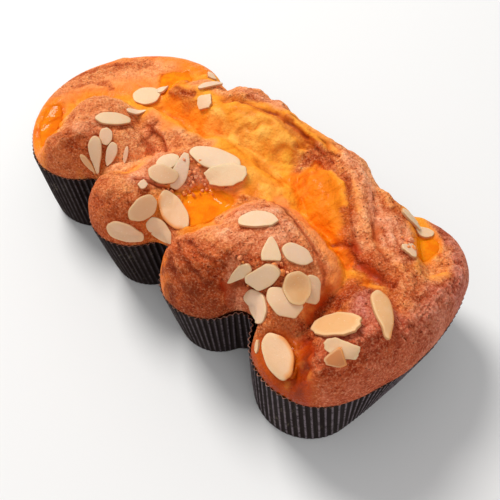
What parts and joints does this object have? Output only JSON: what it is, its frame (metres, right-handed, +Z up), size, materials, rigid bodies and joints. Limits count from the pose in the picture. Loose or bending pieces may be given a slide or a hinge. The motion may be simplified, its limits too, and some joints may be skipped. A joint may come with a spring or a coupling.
{
  "type": "apricot braid pastry",
  "caption": "Plaited sweet loaf baked in a dark fluted paper case with rounded side lobes, with glossy apricot jam in its valleys and sliced almonds baked on the crust.",
  "frame": {"origin": "on the surface the case stands on, below the middle of the whole", "axes": "+X along the loaf to its broad, near end; +Z up; -Y is the side with the four domed strands"},
  "size_m": [0.1978, 0.099, 0.0603],
  "materials": {
    "baked_dough": "matte",
    "case_paper": "matte",
    "apricot_jam": "gloss"
  },
  "bodies": {
    "root": {"braid": "baked_dough", "paper_case": "case_paper", "apricot_jam_middle": "apricot_jam", "apricot_jam_front": "apricot_jam", "apricot_jam_far_left": "apricot_jam", "apricot_jam_far_right": "apricot_jam", "apricot_jam_end": "apricot_jam"}
  },
  "joints": []
}
